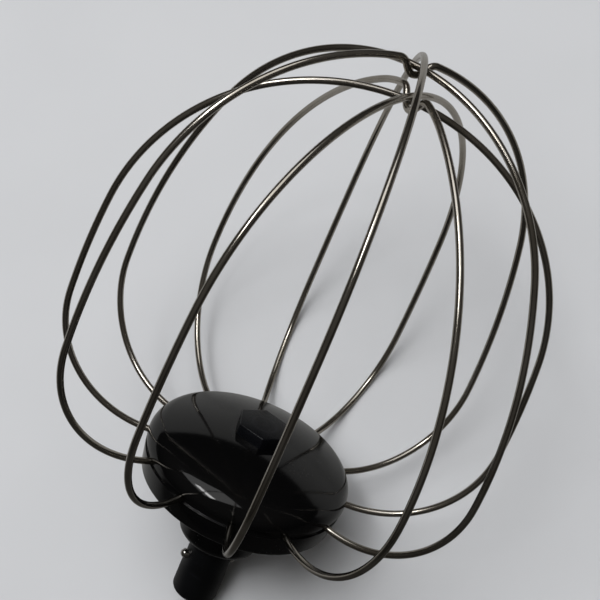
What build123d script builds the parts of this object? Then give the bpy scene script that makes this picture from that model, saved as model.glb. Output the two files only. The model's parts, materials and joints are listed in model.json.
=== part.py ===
from build123d import *
from dataclasses import dataclass
from math import acos, asin, atan, atan2, cos, degrees, hypot, radians, sin
import os

# Wire whisk for a stand mixer, in millimetres. Six bent loops are clamped between the dome and the
# base of a hub, a bolt holds the halves on the drive shaft, and a cross pin locks the shaft in the mixer.
# The whisk is built upright about Z, with the hub's parting plane at z = 0 and the loops above it,
# and is then laid on its side on the floor plane, as it comes to rest.

# Wire and its seats in the hub
WIRE_DIAMETER = 2.0
SEAT_CLEARANCE = 0.05
SEAT_LENGTH = 14.0
WIRE_LEAD = 1.0
FIRST_SEAT_AZIMUTH = 15.0

# Largest radius of the balloon at the wire's middle
BALLOON_RADIUS = 67.0

# Crown heights above the parting plane, and the gaps where loops cross
LONG_CROWN = 131.8
SHORT_CROWN_DROP = 8.6
LONG_UNDER_DROP = 0.7
SHORT_UNDER_RISE = 0.6
LONG_OVER_GAP = 0.3
SHORT_OVER_GAP = 0.3
UNDER_GAP = 0.4

# Dip that takes an under loop below the other two at the crown
DIP_BEND_RADIUS = 3.0
DIP_SLOPE = 50.0

# Dome, the upper half of the hub
HUB_RADIUS = 31.8
DOME_SKIRT = 0.5
DOME_RISE = 11.3
DOME_FULLNESS = 0.24
DOME_WALL = 3.0
CLAMP_RIM_WIDTH = 10.0

# Base, the lower half of the hub
GROOVE_DEPTH = 0.9
BASE_TOP_INSET = 0.3
BASE_EDGE_INSET = 1.2
BASE_DEPTH = 8.7
BASE_EDGE_RADIUS = 0.8
BASE_CONE_DROP = 11.0
BASE_POCKET_DEPTH = 7.0
BOSS_WALL = 6.0
BOSS_LENGTH = 8.5
BOSS_EDGE_RADIUS = 2.8
BOSS_ROOT_RADIUS = 3.0

# Drive shaft and cross pin
SHAFT_DIAMETER = 14.0
SHAFT_REACH = 22.8
SHAFT_SOCKET_DEPTH = 16.0
SHAFT_EDGE_RADIUS = 1.5
LAND_PROUD = 0.25
LAND_PIN_GAP = 0.6
PIN_DIAMETER = 3.0
PIN_DROP = 8.4
PIN_PROUD = 2.2
PIN_AZIMUTH = 38.0

# Clamp bolt
HEX_ACROSS_FLATS = 14.8
HEX_HEIGHT = 3.6
HEX_EDGE_CHAMFER = 0.4
HEX_AZIMUTH = 49.0
HEX_SEAT_MARGIN = 0.6
BOLT_DIAMETER = 8.0
BOLT_CLEARANCE = 0.2
BOLT_ENGAGEMENT = 12.0
BOLT_POST_WALL = 4.0


@dataclass
class Loop:
    """One bent wire: its crown, how far it swells past the balloon's radius, its lean in degrees, how full
    its shoulders are from 0 to 1, and the number of the loop that it dips below."""

    name: str
    crown: float
    swell: float
    lean: float
    fullness: float
    dips_below: int | None = None


SHORT_CROWN = LONG_CROWN - SHORT_CROWN_DROP
LONG_MIDDLE_CROWN = LONG_CROWN - WIRE_DIAMETER - LONG_OVER_GAP
SHORT_MIDDLE_CROWN = SHORT_CROWN - WIRE_DIAMETER - SHORT_OVER_GAP
LONG_UNDER_CROWN = LONG_CROWN - LONG_UNDER_DROP
SHORT_UNDER_CROWN = SHORT_CROWN + SHORT_UNDER_RISE

# In the order of their seats round the hub, short and long loops in turn
LOOPS = (
    Loop("short_wire_middle", SHORT_MIDDLE_CROWN, swell=-0.2, lean=-0.4, fullness=0.09),
    Loop("long_wire_under", LONG_UNDER_CROWN, swell=0.5, lean=-1.2, fullness=0.19, dips_below=5),
    Loop("short_wire_over", SHORT_CROWN, swell=-1.2, lean=1.2, fullness=0.1),
    Loop("long_wire_over", LONG_CROWN, swell=0.8, lean=0.3, fullness=0.1),
    Loop("short_wire_under", SHORT_UNDER_CROWN, swell=3.3, lean=1.0, fullness=0.79, dips_below=0),
    Loop("long_wire_middle", LONG_MIDDLE_CROWN, swell=-0.2, lean=1.0, fullness=0.32),
)
# The two loops whose lower halves the whisk lies on
RESTING_LOOPS = (2, 3)

# Levels and radii that follow from the sizes above
WIRE_RADIUS = WIRE_DIAMETER / 2
SEAT_RADIUS = WIRE_RADIUS + SEAT_CLEARANCE
SEAT_LEVEL = -SEAT_RADIUS
SEAT_PITCH = 180.0 / len(LOOPS)
SEAT_INNER = HUB_RADIUS - SEAT_LENGTH
BEND_START = HUB_RADIUS + WIRE_LEAD
GROOVE_HEIGHT = 2 * SEAT_RADIUS
DOME_TOP = DOME_SKIRT + DOME_RISE
BOSS_TOP = -BASE_DEPTH - BASE_CONE_DROP
BOSS_END = BOSS_TOP - BOSS_LENGTH
SHAFT_RADIUS = SHAFT_DIAMETER / 2
BOSS_RADIUS = SHAFT_RADIUS + BOSS_WALL
SHAFT_TOP = BOSS_END + SHAFT_SOCKET_DEPTH
SHAFT_END = BOSS_END - SHAFT_REACH
PIN_LEVEL = BOSS_END - PIN_DROP
LAND_RADIUS = SHAFT_RADIUS + LAND_PROUD
LAND_TOP = PIN_LEVEL - PIN_DIAMETER / 2 - LAND_PIN_GAP
BOLT_RADIUS = BOLT_DIAMETER / 2
BOLT_HOLE_RADIUS = BOLT_RADIUS + BOLT_CLEARANCE
BOLT_POST_RADIUS = BOLT_HOLE_RADIUS + BOLT_POST_WALL
BOLT_END = SHAFT_TOP - BOLT_ENGAGEMENT
HEX_CORNER_RADIUS = HEX_ACROSS_FLATS / 2 / cos(radians(30))
HEX_SEAT_RADIUS = HEX_CORNER_RADIUS + HEX_SEAT_MARGIN


def oval(half_width, height, fullness):
    """Side and top radii of the two tangent arcs that rise from upright to level, and the angle in degrees
    at which they meet."""
    shoulder = 2 * atan(fullness * half_width / height)
    c = cos(shoulder)
    s = sin(shoulder)
    top_radius = half_width * s * (1 - fullness) / (c + s - 1)
    side_radius = (half_width - top_radius * c) / (1 - c)
    return side_radius, top_radius, degrees(shoulder)


def reach(loop):
    """Largest distance of a loop's middle line from the whisk's axis."""
    return BALLOON_RADIUS + loop.swell


def bend_radius(loop):
    """Radius of a loop's bend at the hub, which ends upright at the loop's reach."""
    return reach(loop) - BEND_START


def crown_shift(loop, level):
    """How far a loop's lean carries it sideways at a level near its crown."""
    return (level - SEAT_LEVEL) * sin(radians(loop.lean))


def dip_place(index):
    """Level of a dip's floor, and how far along its loop the loop above crosses it."""
    loop = LOOPS[index]
    above = LOOPS[loop.dips_below]
    level = above.crown - WIRE_DIAMETER - UNDER_GAP
    turn = radians((loop.dips_below - index) * SEAT_PITCH)
    along = (cos(turn) * crown_shift(loop, level) - crown_shift(above, above.crown)) / sin(turn)
    return level, along


def crown_half(index, side, start, top_radius, turn_left):
    """Edges from the end of the belly to the middle of the crown, with the dip of an under loop."""
    loop = LOOPS[index]
    if loop.dips_below is None:
        return [JernArc(start @ 1, start % 1, top_radius, turn_left)]
    level, along = dip_place(index)
    depth = loop.crown - level
    slope = radians(DIP_SLOPE)
    rest = top_radius - DIP_BEND_RADIUS
    turn = acos(cos(slope) * (1 + (2 * DIP_BEND_RADIUS - depth) / rest) - 2 * DIP_BEND_RADIUS / rest)
    rise = turn - slope
    flank = (rest * sin(rise) - 2 * DIP_BEND_RADIUS * sin(slope)) / cos(slope)
    aside = asin(side * along / (top_radius - depth))
    arch = JernArc(start @ 1, start % 1, top_radius, turn_left - degrees(rise + aside))
    kink = JernArc(arch @ 1, arch % 1, DIP_BEND_RADIUS, degrees(turn))
    drop = Line(kink @ 1, kink @ 1 + (kink % 1) * flank)
    floor = JernArc(drop @ 1, drop % 1, DIP_BEND_RADIUS, -DIP_SLOPE)
    return [arch, kink, drop, floor]


def loop_half(index, side):
    """Edges of one half of a loop in its own plane: seat, bend at the hub, belly and crown."""
    loop = LOOPS[index]
    base_bend = bend_radius(loop)
    height = loop.crown - SEAT_LEVEL - base_bend
    belly_radius, top_radius, shoulder = oval(reach(loop), height, loop.fullness)
    seat = Line((SEAT_INNER, 0), (BEND_START, 0))
    bend = JernArc(seat @ 1, seat % 1, base_bend, 90)
    belly = JernArc(bend @ 1, bend % 1, belly_radius, shoulder)
    return [seat, bend, belly] + crown_half(index, side, belly, top_radius, 90 - shoulder)


def wire_loop(index):
    """One loop as a round wire, leaned about its seats and turned to its place round the hub."""
    near = loop_half(index, 1)
    far = [mirror(edge, about=Plane.YZ) for edge in loop_half(index, -1)]
    path = Wire([edge for item in near + far for edge in item.edges()])
    section = Plane((SEAT_INNER, 0, 0), z_dir=(1, 0, 0)) * Circle(WIRE_RADIUS)
    place = Pos(Z=SEAT_LEVEL) * Rot(Z=seat_azimuth(index)) * Rot(X=90 - LOOPS[index].lean)
    return place * sweep(section, path)


def seat_azimuth(index):
    """Direction of a loop's first seat round the hub, in degrees."""
    return FIRST_SEAT_AZIMUTH + index * SEAT_PITCH


def turned(outline):
    """Solid of revolution about Z of a closed outline of edges drawn in radius and height."""
    face = make_face(Curve() + outline)
    return revolve(Plane.XZ * face, Axis.Z)


def cylinder(radius, bottom, top):
    """Upright cylinder about Z between two levels."""
    return Pos(Z=bottom) * Cylinder(radius, top - bottom, align=(Align.CENTER, Align.CENTER, Align.MIN))


def dome_arch(radius, rise, inner):
    """Edges of a dome from its foot up a short skirt, its shoulder and its crown, in to a smaller radius."""
    side_radius, top_radius, shoulder = oval(radius, rise, DOME_FULLNESS)
    skirt = Line((radius, 0), (radius, DOME_SKIRT))
    side = JernArc(skirt @ 1, skirt % 1, side_radius, shoulder)
    top = JernArc(side @ 1, side % 1, top_radius, 90 - shoulder - degrees(asin(inner / top_radius)))
    return [skirt, side, top]


def hex_seat_level():
    """Level of the flat on the dome's crown that carries the bolt's head."""
    top_radius = oval(HUB_RADIUS, DOME_RISE, DOME_FULLNESS)[1]
    return DOME_TOP - top_radius + (top_radius**2 - HEX_SEAT_RADIUS**2) ** 0.5


def hub_dome():
    """Upper hub half: a cored dome with a clamping rim, a bolt post and a flat for the bolt's head."""
    outside = dome_arch(HUB_RADIUS, DOME_RISE, HEX_SEAT_RADIUS)
    flat = Line(outside[-1] @ 1, (BOLT_HOLE_RADIUS, hex_seat_level()))
    hole = Line(flat @ 1, (BOLT_HOLE_RADIUS, 0))
    rim = Line(hole @ 1, (HUB_RADIUS, 0))
    core_radius = HUB_RADIUS - CLAMP_RIM_WIDTH
    core = dome_arch(core_radius, DOME_RISE - DOME_WALL, BOLT_POST_RADIUS)
    post = Line(core[-1] @ 1, (BOLT_POST_RADIUS, 0))
    mouth = Line(post @ 1, (core_radius, 0))
    return turned(outside + [flat, hole, rim]) - turned(core + [post, mouth])


def base_body():
    """Outside of the lower hub half: a groove under the dome, a tapering wall, a cone and the boss."""
    groove = HUB_RADIUS - GROOVE_DEPTH
    lip = HUB_RADIUS - BASE_TOP_INSET
    edge = HUB_RADIUS - BASE_EDGE_INSET
    corners = {
        (0, 0): 0,
        (groove, 0): 0,
        (groove, -GROOVE_HEIGHT): 0,
        (lip, -GROOVE_HEIGHT): 0,
        (edge, -BASE_DEPTH): BASE_EDGE_RADIUS,
        (BOSS_RADIUS, BOSS_TOP): BOSS_ROOT_RADIUS,
        (BOSS_RADIUS, BOSS_END): BOSS_EDGE_RADIUS,
        (0, BOSS_END): 0,
    }
    return turned([FilletPolyline(*corners, radius=corners.values(), close=True)])


def hub_base():
    """Lower hub half: a tapering bowl with open wire seats, a cored middle and the shaft's boss."""
    body = base_body()
    pocket = cylinder(SEAT_INNER - WIRE_DIAMETER, -BASE_POCKET_DEPTH, 0)
    pocket -= cylinder(BOLT_POST_RADIUS, -BASE_POCKET_DEPTH, 0)
    body -= pocket
    body -= cylinder(SHAFT_RADIUS, BOSS_END, SHAFT_TOP)
    body -= cylinder(BOLT_HOLE_RADIUS, SHAFT_TOP, 0)
    return body - wire_seats()


def wire_seats():
    """Channels of the wire ends in the base's rim: round below, and open at the parting plane."""
    length = HUB_RADIUS - SEAT_INNER + SEAT_CLEARANCE
    middle = SEAT_INNER - SEAT_CLEARANCE + length / 2
    bottom = Pos(middle, 0, SEAT_LEVEL) * Rot(Y=90) * Cylinder(SEAT_RADIUS, length)
    mouth = Pos(middle, 0, SEAT_LEVEL) * Box(length, 2 * SEAT_RADIUS, SEAT_RADIUS,
                                             align=(Align.CENTER, Align.CENTER, Align.MIN))
    channel = bottom + mouth
    return [Rot(Z=FIRST_SEAT_AZIMUTH + step * SEAT_PITCH) * channel for step in range(2 * len(LOOPS))]


def drive_shaft():
    """Round shaft in the base's socket, tapped for the bolt and bored across for the pin, with a land
    at its free end that runs in the mixer."""
    land = cylinder(LAND_RADIUS, SHAFT_END, LAND_TOP)
    land = fillet(land.edges().sort_by(Axis.Z)[0], SHAFT_EDGE_RADIUS)
    body = land + cylinder(SHAFT_RADIUS, LAND_TOP, SHAFT_TOP)
    body -= cylinder(BOLT_RADIUS, BOLT_END, SHAFT_TOP)
    return body - pin_place() * Cylinder(PIN_DIAMETER / 2, 2 * SHAFT_DIAMETER)


def pin_place():
    """Location of the cross pin's middle, with its axis across the shaft."""
    return Pos(Z=PIN_LEVEL) * Rot(Z=PIN_AZIMUTH) * Rot(Y=90)


def cross_pin():
    """Steel pin across the shaft, proud on both sides, with domed ends."""
    straight = SHAFT_DIAMETER + 2 * PIN_PROUD - PIN_DIAMETER
    dome = Sphere(PIN_DIAMETER / 2)
    pin = Cylinder(PIN_DIAMETER / 2, straight) + Pos(Z=straight / 2) * dome + Pos(Z=-straight / 2) * dome
    return pin_place() * pin


def clamp_bolt():
    """Hex head on the dome's flat, with a shank down into the shaft."""
    seat = hex_seat_level()
    hexagon = Rot(Z=HEX_AZIMUTH) * RegularPolygon(HEX_CORNER_RADIUS, 6)
    head = extrude(Pos(Z=seat) * hexagon, HEX_HEIGHT)
    head = chamfer(head.faces().sort_by(Axis.Z)[-1].edges(), HEX_EDGE_CHAMFER)
    return head + cylinder(BOLT_RADIUS, BOLT_END, seat)


def bisect(function, low, high):
    """Root of a rising or falling function between two values."""
    falling = function(low) > function(high)
    for _ in range(60):
        middle = (low + high) / 2
        if (function(middle) > 0) == falling:
            low = middle
        else:
            high = middle
    return (low + high) / 2


def down_direction(tilt, azimuth):
    """Unit vector towards the floor, for a whisk whose axis rises by tilt off the floor."""
    return Vector(cos(tilt) * cos(azimuth), cos(tilt) * sin(azimuth), -sin(tilt))


def loop_support(index, down):
    """How far the lower half of a loop reaches towards the floor, at its bend by the hub."""
    loop = LOOPS[index]
    azimuth = radians(seat_azimuth(index))
    lean = radians(loop.lean)
    outward = Vector(-cos(azimuth), -sin(azimuth), 0)
    upward = Vector(-sin(azimuth) * sin(lean), cos(azimuth) * sin(lean), cos(lean))
    radius = bend_radius(loop)
    centre = outward * BEND_START + upward * radius + Vector(0, 0, SEAT_LEVEL)
    return centre.dot(down) + radius * hypot(outward.dot(down), upward.dot(down)) + WIRE_RADIUS


def shaft_support(down):
    """How far the rounded end of the shaft reaches towards the floor."""
    ring = LAND_RADIUS - SHAFT_EDGE_RADIUS
    return (SHAFT_END + SHAFT_EDGE_RADIUS) * down.Z + ring * hypot(down.X, down.Y) + SHAFT_EDGE_RADIUS


def lying_place():
    """Location that lays the upright whisk on two loops and the shaft's end, with its axis over X."""
    first, second = RESTING_LOOPS
    middle = radians(seat_azimuth(first) + SEAT_PITCH / 2 + 180)
    swing = radians(SEAT_PITCH / 2)

    def resting_azimuth(tilt):
        return bisect(lambda azimuth: loop_support(first, down_direction(tilt, azimuth))
                      - loop_support(second, down_direction(tilt, azimuth)), middle - swing, middle + swing)

    def imbalance(tilt):
        down = down_direction(tilt, resting_azimuth(tilt))
        return loop_support(first, down) - shaft_support(down)

    tilt = bisect(imbalance, radians(5), radians(60))
    azimuth = resting_azimuth(tilt)
    down = down_direction(tilt, azimuth)
    axis = Plane((0, 0, shaft_support(down)), x_dir=(0, 1, 0), z_dir=(cos(tilt), 0, sin(tilt)))
    return axis.location * Rot(Z=-90 - degrees(atan2(down.Y, down.X)))


def main():
    """Build every piece, lay the whisk down, centre it over the origin and write one file per piece."""
    pieces = {
        "hub_dome": hub_dome(),
        "hub_base": hub_base(),
        "drive_shaft": drive_shaft(),
        "cross_pin": cross_pin(),
        "clamp_bolt": clamp_bolt(),
    }
    for index, loop in enumerate(LOOPS):
        pieces[loop.name] = wire_loop(index)
    lying = lying_place()
    pieces = {name: lying * piece for name, piece in pieces.items()}
    box = Compound([solid for piece in pieces.values() for solid in piece.solids()]).bounding_box()
    centred = Pos(X=-box.center().X, Y=-box.center().Y)
    os.makedirs("parts", exist_ok=True)
    for name, piece in pieces.items():
        export_step(centred * piece, f"parts/{name}.step")


main()
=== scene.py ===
import json
import logging
from abc import ABC, abstractmethod
from collections.abc import Mapping, Sequence
from dataclasses import dataclass
from enum import Enum
from math import acos, asin, atan, cos, degrees, pi, radians, sin, tan

import bmesh
import bpy
from bpy.types import Material, Mesh, Node, NodeSocket, NodeTree, Object
from mathutils import Matrix, Vector


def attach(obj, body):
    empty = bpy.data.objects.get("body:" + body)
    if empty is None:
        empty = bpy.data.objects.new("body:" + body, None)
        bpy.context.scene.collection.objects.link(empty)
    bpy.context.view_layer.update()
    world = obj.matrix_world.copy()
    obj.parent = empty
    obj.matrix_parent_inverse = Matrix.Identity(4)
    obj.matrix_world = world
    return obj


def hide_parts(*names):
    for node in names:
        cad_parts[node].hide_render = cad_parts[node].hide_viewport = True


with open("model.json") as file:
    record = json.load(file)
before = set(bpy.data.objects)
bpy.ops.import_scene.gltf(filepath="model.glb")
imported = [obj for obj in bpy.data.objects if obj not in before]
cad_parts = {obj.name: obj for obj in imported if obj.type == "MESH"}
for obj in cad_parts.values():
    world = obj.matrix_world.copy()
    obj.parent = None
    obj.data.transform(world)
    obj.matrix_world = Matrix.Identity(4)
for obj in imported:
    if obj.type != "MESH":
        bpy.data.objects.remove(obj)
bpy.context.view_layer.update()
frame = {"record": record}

# Looks of a stand mixer's wire whisk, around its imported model. Pieces are built in millimetres about the
# whisk's own upright axis, with the hub's parting plane at height 0, and are then laid on the floor in metres.

MM = 0.001
BODY = "root"
LOG = logging.getLogger("whisk")

FLOAT, INTEGER, VECTOR = "NodeSocketFloat", "NodeSocketInt", "NodeSocketVector"
GEOMETRY, MATERIAL = "NodeSocketGeometry", "NodeSocketMaterial"

Triple = tuple[float, float, float]


class Slot(Enum):
    """Material slots of the record, one for each kind of piece."""

    HUB = "hub_plastic"
    SHAFT = "shaft_coating"
    PIN = "pin_steel"
    BOLT = "bolt_coating"
    WIRE = "wire_steel"


class Crossing(Enum):
    """How a loop passes the other two loops of its length at the crown."""

    OVER = "over"
    MIDDLE = "middle"
    UNDER = "under"


class Graph:
    """A node tree that is written node by node, where an input is a value or another node's socket."""

    def __init__(self, tree: NodeTree) -> None:
        """Start on an empty tree.

        Args:
            tree: The tree that the nodes go into.
        """
        self.tree = tree
        self.source: Mapping[str, NodeSocket] = {}
        tree.nodes.clear()

    @classmethod
    def group(cls, name: str, kind: str, inputs: Mapping[str, str], outputs: Mapping[str, str]) -> "Graph":
        """Make a node group with named sockets.

        Args:
            name: Name of the group.
            kind: Type of the tree, for geometry or shaders.
            inputs: Socket types by input name.
            outputs: Socket types by output name.

        Returns:
            The graph of the new group, with the group's inputs as its source.
        """
        tree = bpy.data.node_groups.new(name, kind)
        for way, sockets in (("INPUT", inputs), ("OUTPUT", outputs)):
            for title, socket in sockets.items():
                tree.interface.new_socket(name=title, in_out=way, socket_type=socket)
        graph = cls(tree)
        graph.source = graph.add("NodeGroupInput").outputs
        return graph

    def add(self, kind: str, inputs: Mapping[str | int, object] | None = None, **settings: object) -> Node:
        """Add a node.

        Args:
            kind: Blender's name of the node type.
            inputs: Values or sockets by input name or number.
            **settings: Properties of the node itself.

        Returns:
            The new node.
        """
        node = self.tree.nodes.new(kind)
        for name, value in settings.items():
            setattr(node, name, value)
        for key, value in (inputs or {}).items():
            if isinstance(value, NodeSocket):
                self.tree.links.new(value, node.inputs[key])
            else:
                node.inputs[key].default_value = value
        return node

    def math(self, operation: str, *values: object) -> NodeSocket:
        """Add a Math node with numbers or sockets for its inputs, and return its result."""
        return self.add("ShaderNodeMath", dict(enumerate(values)), operation=operation).outputs[0]

    def vector_math(self, operation: str, *values: object) -> Node:
        """Add a Vector Math node with vectors or sockets for its inputs, and return the node."""
        return self.add("ShaderNodeVectorMath", dict(enumerate(values)), operation=operation)

    def vector(self, *parts: object) -> NodeSocket:
        """Combine three numbers or sockets, and return the vector's socket."""
        return self.add("ShaderNodeCombineXYZ", dict(enumerate(parts))).outputs[0]

    def here(self) -> NodeSocket:
        """Return a socket with the surface's Object coordinates."""
        return self.add("ShaderNodeTexCoord").outputs["Object"]

    def shape(self, kind: str, inputs: Mapping[str | int, object], **settings: object) -> NodeSocket:
        """Add a geometry node by the end of its type name, and return its first output."""
        return self.add(f"GeometryNode{kind}", inputs, **settings).outputs[0]

    def noise(self, place: NodeSocket, scale: object, detail: float, roughness: float = 0.5) -> NodeSocket:
        """Add a noise texture at given coordinates, and return its value."""
        inputs = {"Vector": place, "Scale": scale, "Detail": detail, "Roughness": roughness}
        return self.add("ShaderNodeTexNoise", inputs).outputs["Fac"]

    def spread(self, value: NodeSocket, start: float, end: float, low: object, high: object) -> NodeSocket:
        """Spread a value from start to end smoothly from low to high, and return the result."""
        inputs = {"Value": value, "From Min": start, "From Max": end, "To Min": low, "To Max": high}
        return self.add("ShaderNodeMapRange", inputs, interpolation_type="SMOOTHSTEP").outputs["Result"]

    def blend(self, factor: object, first: Triple | NodeSocket, second: Triple | NodeSocket) -> NodeSocket:
        """Mix two colours, the first at a factor of 0 and the second at 1, and return the result."""
        ends = [end if isinstance(end, NodeSocket) else opaque(end) for end in (first, second)]
        return self.add("ShaderNodeMix", {0: factor, 6: ends[0], 7: ends[1]}, data_type="RGBA").outputs[2]

    def bump(self, height: NodeSocket, distance: float, strength: float, invert: bool = False) -> NodeSocket:
        """Add a bump of a distance in metres, inwards if inverted, and return the normal."""
        inputs = {"Height": height, "Distance": distance, "Strength": strength}
        return self.add("ShaderNodeBump", inputs, invert=invert).outputs["Normal"]

    def place_group(self, group: NodeTree, output: str = "Mask", **values: object) -> NodeSocket:
        """Place a shader group in a material.

        Args:
            group: The group to place.
            output: Name of the output to read.
            **values: Numbers or vectors by input name, with underscores for spaces.

        Returns:
            The output's socket.
        """
        node = self.add("ShaderNodeGroup", node_tree=group)
        for name, value in values.items():
            node.inputs[name.replace("_", " ").title()].default_value = value
        return node.outputs[output]

    def finish_group(self, output: str, socket: NodeSocket) -> NodeTree:
        """Link the group's output by its name, and return the finished tree."""
        self.add("NodeGroupOutput", {output: socket})
        return self.tree


def opaque(colour: Triple) -> tuple[float, float, float, float]:
    """Return a colour with full alpha."""
    return (*colour, 1.0)


@dataclass(frozen=True)
class Effects:
    """Shader groups that more than one finish uses."""

    dust: NodeTree
    scratches: NodeTree
    cloudiness: NodeTree
    ring: NodeTree

    @classmethod
    def make(cls) -> "Effects":
        """Build every group once."""
        return cls(dust=cls.dust_group(), scratches=cls.scratch_group(), cloudiness=cls.cloud_group(),
                   ring=cls.ring_group())

    @staticmethod
    def start(name: str, output: str = "Mask", **inputs: str) -> Graph:
        """Start a shader group with one output, and input types by name, with underscores for spaces."""
        sockets = {title.replace("_", " ").title(): kind for title, kind in inputs.items()}
        return Graph.group(name, "ShaderNodeTree", sockets, {output: FLOAT})

    @classmethod
    def ring_group(cls) -> NodeTree:
        """Build the group of one turned ring round an axis.

        Returns:
            The group, with a mask that is 1 in the middle of the ring.
        """
        graph = cls.start("Turned ring", origin=VECTOR, axis=VECTOR, ring_radius=FLOAT, ring_width=FLOAT)
        offset = graph.vector_math("SUBTRACT", graph.here(), graph.source["Origin"]).outputs[0]
        across = graph.vector_math("CROSS_PRODUCT", offset, graph.source["Axis"]).outputs[0]
        radius = graph.vector_math("LENGTH", across).outputs["Value"]
        apart = graph.math("ABSOLUTE", graph.math("SUBTRACT", radius, graph.source["Ring Radius"]))
        share = graph.math("DIVIDE", apart, graph.source["Ring Width"])
        return graph.finish_group("Mask", graph.spread(share, 0.0, 1.0, 1.0, 0.0))

    @classmethod
    def dust_group(cls) -> NodeTree:
        """Build the group that scatters small pale specks in patches.

        Returns:
            The group, with a mask that is 1 on a speck.
        """
        patches_per_metre, largest_speck = 90.0, 0.16
        graph = cls.start("Dust specks", specks_per_metre=FLOAT, amount=FLOAT)
        place = graph.here()
        specks = graph.add("ShaderNodeTexVoronoi", {"Vector": place, "Scale": graph.source["Specks Per Metre"]})
        thin = graph.spread(graph.noise(place, patches_per_metre, 2.0), 0.45, 0.7, 0.0, largest_speck)
        dots = graph.math("LESS_THAN", specks.outputs["Distance"], thin)
        return graph.finish_group("Mask", graph.math("MULTIPLY", dots, graph.source["Amount"]))

    @classmethod
    def scratch_group(cls) -> NodeTree:
        """Build the group of fine wiping scratches in two directions.

        Returns:
            The group, with a mask that is 1 in a scratch.
        """
        stretch = (1.0, 0.035, 0.3)
        turns_and_seeds = ((0.5, 3.0), (-0.9, 11.0))
        graph = cls.start("Wiping scratches", lines_per_metre=FLOAT, amount=FLOAT)
        place = graph.here()
        lines = []
        for turn, seed in turns_and_seeds:
            turned = graph.add("ShaderNodeMapping", {"Vector": place, "Rotation": (turn, 0.3, turn),
                                                     "Scale": stretch})
            noise = graph.add("ShaderNodeTexNoise", {"Vector": turned.outputs["Vector"], "W": seed,
                                                     "Scale": graph.source["Lines Per Metre"],
                                                     "Detail": 1.0}, noise_dimensions="4D")
            lines.append(graph.spread(noise.outputs["Fac"], 0.66, 0.74, 0.0, 1.0))
        both = graph.math("MAXIMUM", *lines)
        return graph.finish_group("Mask", graph.math("MULTIPLY", both, graph.source["Amount"]))

    @classmethod
    def cloud_group(cls) -> NodeTree:
        """Build the group of soft uneven patches, as of handling or tarnish.

        Returns:
            The group, with a value from 0 to 1.
        """
        graph = cls.start("Cloudy patches", "Value", patches_per_metre=FLOAT)
        noise = graph.noise(graph.here(), graph.source["Patches Per Metre"], 4.0, roughness=0.55)
        return graph.finish_group("Value", graph.spread(noise, 0.32, 0.68, 0.0, 1.0))


@dataclass(frozen=True)
class Finish(ABC):
    """A procedural material, kept as values that don't change."""

    name: str

    def make(self) -> Material:
        """Build the material.

        Returns:
            The material, with the surface that the finish describes.
        """
        material = bpy.data.materials.new(self.name)
        material.use_nodes = True
        graph = Graph(material.node_tree)
        graph.add("ShaderNodeOutputMaterial", {"Surface": self.surface(graph)})
        return material

    @abstractmethod
    def surface(self, graph: Graph) -> NodeSocket:
        """Write the finish's nodes.

        Args:
            graph: The material's empty graph.

        Returns:
            The surface shader's socket.
        """

    @staticmethod
    def principled(graph: Graph, colour: NodeSocket, roughness: object, **others: object) -> NodeSocket:
        """Add the Principled shader with other inputs by name, and return its socket."""
        inputs = {"Base Color": colour, "Roughness": roughness, **others}
        return graph.add("ShaderNodeBsdfPrincipled", inputs).outputs["BSDF"]


@dataclass(frozen=True)
class PolishedWire(Finish):
    """Drawn and polished stainless wire, with faint lines along it and a warm tarnish in patches."""

    effects: Effects
    bright: Triple = (0.46, 0.43, 0.385)
    tarnished: Triple = (0.30, 0.27, 0.225)
    smooth: float = 0.13
    rough: float = 0.22
    line_stretch: Triple = (0.06, 4.0, 4.0)
    line_depth: float = 0.00001
    line_strength: float = 0.5
    least_tarnish: float = 0.35
    patches_per_metre: float = 60.0

    def surface(self, graph: Graph) -> NodeSocket:
        """Write the finish's nodes, on the wire's own attribute of length and way round.

        Args:
            graph: The material's empty graph.

        Returns:
            The surface shader's socket.
        """
        wire = graph.add("ShaderNodeAttribute", attribute_name=Trees.WIRE_PLACE).outputs["Vector"]
        drawn = graph.add("ShaderNodeMapping", {"Vector": wire, "Scale": self.line_stretch})
        lines = graph.noise(drawn.outputs["Vector"], 1.0, 3.0)
        clouds = graph.place_group(self.effects.cloudiness, "Value", patches_per_metre=self.patches_per_metre)
        dark = graph.math("MULTIPLY", clouds, graph.spread(lines, 0.35, 0.65, self.least_tarnish, 1.0))
        return self.principled(graph, graph.blend(dark, self.bright, self.tarnished),
                               graph.spread(lines, 0.3, 0.7, self.smooth, self.rough), Metallic=1.0,
                               Normal=graph.bump(lines, self.line_depth, self.line_strength))


@dataclass(frozen=True)
class GlossPlastic(Finish):
    """Gloss black moulded plastic, with wiping scratches and a little dust."""

    effects: Effects
    black: Triple = (0.0014, 0.0014, 0.0016)
    dusty: Triple = (0.035, 0.034, 0.032)
    density: float = 1.41
    gloss: float = 0.07
    clouded: float = 0.035
    scratched: float = 0.26
    dust_roughness: float = 0.5
    scratch_depth: float = 0.00001
    scratch_strength: float = 0.25

    def surface(self, graph: Graph) -> NodeSocket:
        """Write the finish's nodes, on Object coordinates.

        Args:
            graph: The material's empty graph.

        Returns:
            The surface shader's socket.
        """
        scratches = graph.place_group(self.effects.scratches, lines_per_metre=2600.0, amount=0.5)
        dust = graph.place_group(self.effects.dust, specks_per_metre=900.0, amount=0.5)
        clouds = graph.place_group(self.effects.cloudiness, "Value", patches_per_metre=45.0)
        wiped = graph.math("MULTIPLY_ADD", clouds, self.clouded, self.gloss)
        worn = graph.math("MULTIPLY_ADD", scratches, self.scratched - self.gloss, wiped)
        return self.principled(graph, graph.blend(dust, self.black, self.dusty),
                               graph.math("MULTIPLY_ADD", dust, self.dust_roughness, worn), IOR=self.density,
                               Normal=graph.bump(scratches, self.scratch_depth, self.scratch_strength, invert=True))


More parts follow.
